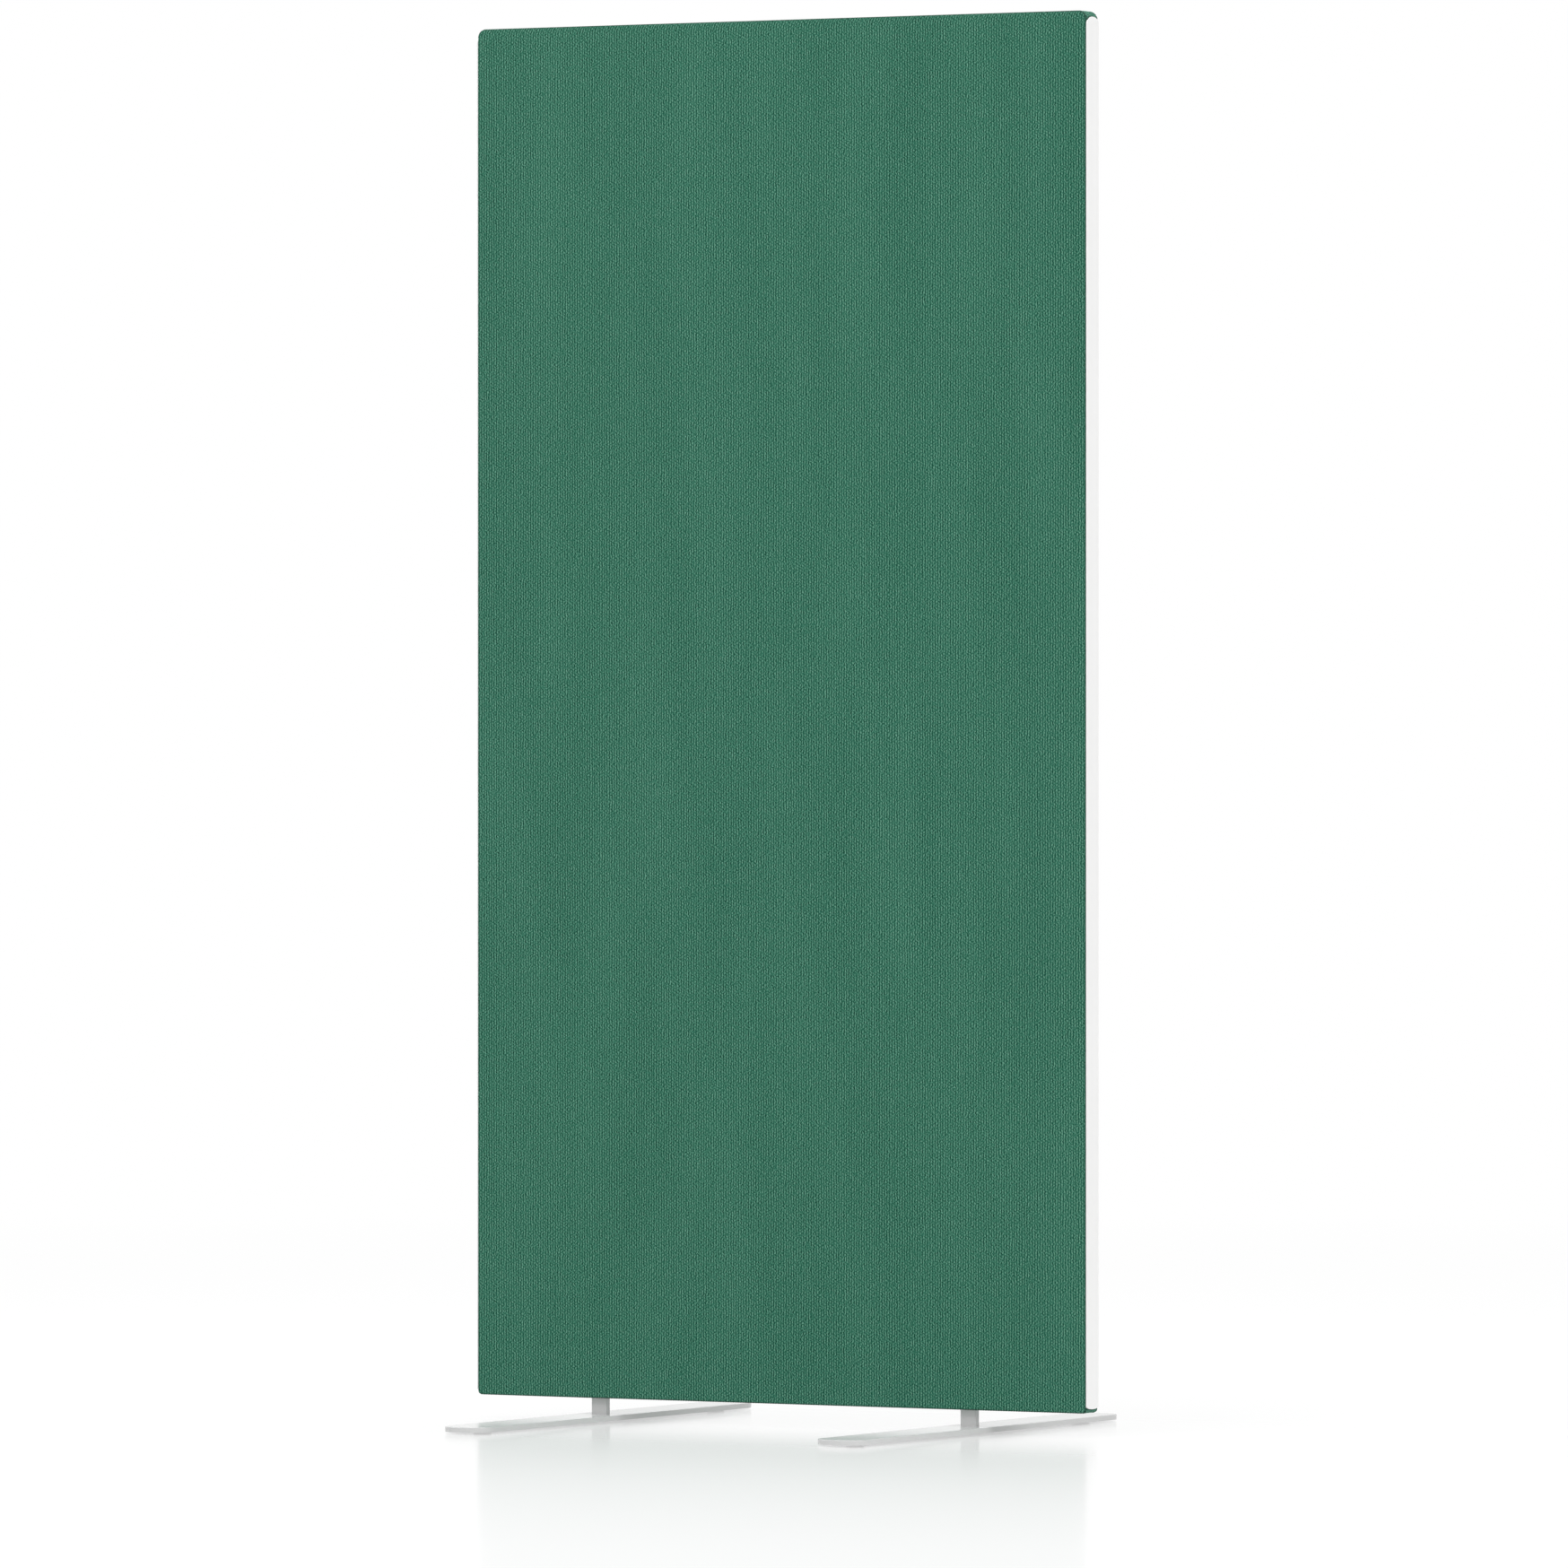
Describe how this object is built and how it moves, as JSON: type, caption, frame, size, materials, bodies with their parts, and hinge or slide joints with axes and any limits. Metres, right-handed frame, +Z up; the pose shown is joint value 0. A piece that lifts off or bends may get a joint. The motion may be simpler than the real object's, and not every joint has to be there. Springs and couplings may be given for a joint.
{
  "type": "acoustic divider screen",
  "caption": "Free-standing upholstered acoustic panel with white edge trims on flat steel feet, for dividing a room and absorbing sound.",
  "frame": {"origin": "on the floor, under the middle of the screen", "axes": "+X along the panel's width, +Y from its front to its back, +Z up"},
  "size_m": [0.8032, 0.62, 1.602],
  "materials": {
    "cover_fabric": "ribbed woven, matte",
    "edge_trim": "smooth white, satin",
    "foot_steel": "fine powder coat, light grey",
    "frame_wood": "planed softwood, unfinished",
    "dowel_wood": "beech, unfinished",
    "wadding": "white needled fleece",
    "absorber": "grey felted fibre batt",
    "fastener_steel": "zinc plated",
    "foot_pad": "pale grey, matte"
  },
  "bodies": {
    "root": {"fabric_front": "cover_fabric", "fabric_back": "cover_fabric", "edge_trim_left": "edge_trim", "edge_trim_right": "edge_trim", "foot_plate_left": "foot_steel", "foot_plate_right": "foot_steel", "foot_post_left": "foot_steel", "foot_post_right": "foot_steel", "foot_pads_left": "foot_pad", "foot_pads_right": "foot_pad", "foot_screws_left": "fastener_steel", "foot_screws_right": "fastener_steel", "post_screws_left": "fastener_steel", "post_screws_right": "fastener_steel", "staples_left": "fastener_steel", "staples_right": "fastener_steel", "frame_stile_left": "frame_wood", "frame_stile_right": "frame_wood", "frame_top_rail": "frame_wood", "frame_mid_rail": "frame_wood", "frame_bottom_rail": "frame_wood", "frame_dowels": "dowel_wood", "absorber_lower": "absorber", "absorber_upper": "absorber", "wadding_front": "wadding", "wadding_back": "wadding"}
  },
  "joints": []
}
